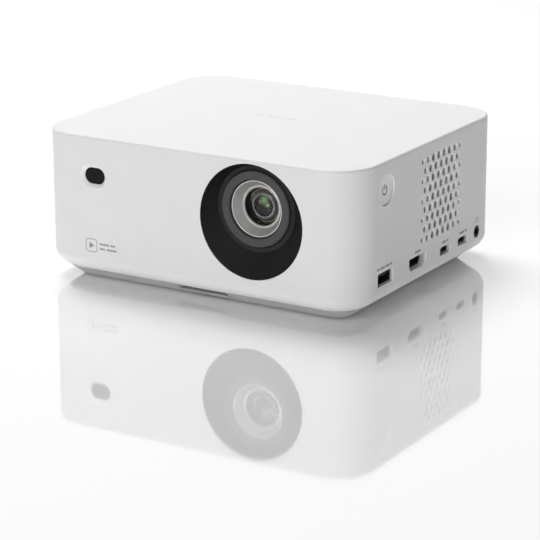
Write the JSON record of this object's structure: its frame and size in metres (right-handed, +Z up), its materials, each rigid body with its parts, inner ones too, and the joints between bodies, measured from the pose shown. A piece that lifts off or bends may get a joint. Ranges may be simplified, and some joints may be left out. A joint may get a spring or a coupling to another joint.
{
  "type": "home projector",
  "caption": "Compact laser home projector: a rounded box on a tapered base, with an off-centre lens in a round dish, side air grilles, a row of sockets and a fold-down tilt foot.",
  "frame": {"origin": "middle of the projector's outline on the tabletop it stands on", "axes": "+X across the front towards the socket side, +Y from the front face to the back, +Z up"},
  "size_m": [0.164, 0.139, 0.0692],
  "materials": {
    "white_shell": "fine satin moulded",
    "base_plastic": "fine satin moulded",
    "black_dish": "satin black",
    "grey_hood": "fine spark texture",
    "black_plastic": "matt",
    "satin_silver": "satin",
    "steel": "plain",
    "brass": "turned",
    "copper": "bare copper",
    "optical_glass": "polished and coated",
    "dark_glass": "polished",
    "rubber": "matt",
    "die_cast": "as cast magnesium alloy",
    "circuit_board": "solder mask",
    "chip": "moulded",
    "flex_film": "polyimide film",
    "grey_mesh": "woven"
  },
  "bodies": {
    "housing": {"upper_housing": "white_shell", "lower_housing": "base_plastic", "rubber_feet": "rubber", "base_screws": "steel", "tripod_insert": "brass", "tilt_foot_pin": "steel", "lens_bezel": "black_dish", "lens_hood": "grey_hood", "lens_trim": "satin_silver", "front_lens": "optical_glass", "lens_barrel": "black_plastic", "barrel_screws": "steel", "inner_lenses": "optical_glass", "focus_motor": "steel", "focus_bracket": "steel", "engine_housing": "die_cast", "engine_cover": "die_cast", "prism": "optical_glass", "dmd_chip": "chip", "dmd_board": "circuit_board", "dmd_heatsink": "satin_silver", "relay_lens": "optical_glass", "dichroic_plates": "optical_glass", "laser_red": "brass", "laser_green": "brass", "laser_blue": "brass", "diffuser_motor": "steel", "laser_block": "satin_silver", "heat_pipes": "copper", "fin_stack": "satin_silver", "fan_frame_right": "black_plastic", "fan_frame_left": "black_plastic", "dust_mesh_right": "grey_mesh", "dust_mesh_left": "grey_mesh", "sensor_window": "dark_glass", "sensor_module": "black_plastic", "button_board": "circuit_board", "main_board": "circuit_board", "board_chips": "chip", "board_screws": "steel", "soc_heatsink": "satin_silver", "usb_a_socket": "steel", "hdmi_socket": "steel", "usb_c_socket": "steel", "usb_c_power_socket": "steel", "audio_jack": "black_plastic", "speaker_box": "black_plastic", "speaker_driver": "black_plastic", "wifi_antenna": "flex_film", "power_board": "circuit_board", "flat_cables": "flex_film"},
    "tilt_foot": {"tilt_foot": "base_plastic", "tilt_foot_pad": "rubber"},
    "power_button": {"power_button": "white_shell"},
    "focus_cell": {"focus_cell": "black_plastic", "focus_lens": "optical_glass"},
    "focus_screw": {"focus_screw": "steel"},
    "fan_rotor_right": {"fan_rotor_right": "black_plastic"},
    "fan_rotor_left": {"fan_rotor_left": "black_plastic"},
    "diffuser_wheel": {"diffuser_wheel": "optical_glass"}
  },
  "joints": [
    {"name": "tilt_foot_hinge", "type": "hinge", "parent": "housing", "child": "tilt_foot", "pos_m": [0.00125, -0.033, 0.0027], "axis": [1, 0, 0], "range_deg": [0, 70]},
    {"name": "power_button_press", "type": "slide", "parent": "housing", "child": "power_button", "axis": [-1, 0, 0], "range_m": [0, 0.0008], "stiffness_N_per_m": 800, "springref_m": -0.001},
    {"name": "focus_screw_turn", "type": "hinge", "parent": "housing", "child": "focus_screw", "pos_m": [0.0067, -0.045, 0.0463], "axis": [0, -1, 0], "range_deg": [0, 2165]},
    {"name": "focus_cell_slide", "type": "slide", "parent": "housing", "child": "focus_cell", "axis": [0, 1, 0], "range_m": [0, 0.003]},
    {"name": "fan_right_spin", "type": "hinge", "parent": "housing", "child": "fan_rotor_right", "pos_m": [0.0715, 0.0096, 0.0436], "axis": [1, 0, 0], "continuous": true},
    {"name": "fan_left_spin", "type": "hinge", "parent": "housing", "child": "fan_rotor_left", "pos_m": [-0.054, 0.0096, 0.0436], "axis": [-1, 0, 0], "continuous": true},
    {"name": "diffuser_spin", "type": "hinge", "parent": "housing", "child": "diffuser_wheel", "pos_m": [0.012, -0.013, 0.0398], "axis": [1, 0, 0], "continuous": true}
  ],
  "couplings": [
    {"joint": "focus_screw_turn", "follows": "focus_cell_slide", "rad_per_m": 12566}
  ]
}
